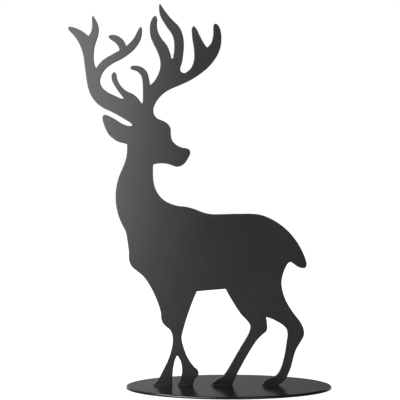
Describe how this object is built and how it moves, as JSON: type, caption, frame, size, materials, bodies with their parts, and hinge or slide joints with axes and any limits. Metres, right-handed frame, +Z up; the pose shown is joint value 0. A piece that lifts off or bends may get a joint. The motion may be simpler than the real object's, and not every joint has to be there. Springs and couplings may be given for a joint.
{
  "type": "sheet-metal stag silhouette on an oval base plate",
  "caption": "Standing stag cut from flat steel sheet, with its head turned back and branching antlers, upright on a thin oval base plate; a freestanding ornament.",
  "frame": {"origin": "middle of the base plate's underside", "axes": "+Z up, +Y out of the back of the sheet, -X the way the stag's chest faces"},
  "size_m": [0.3081, 0.12, 0.45],
  "materials": {
    "sheet_coating": "satin black powder coat with a fine grain",
    "plate_coating": "smooth satin black powder coat"
  },
  "bodies": {
    "root": {"stag_silhouette": "sheet_coating", "base_plate": "plate_coating"}
  },
  "joints": []
}
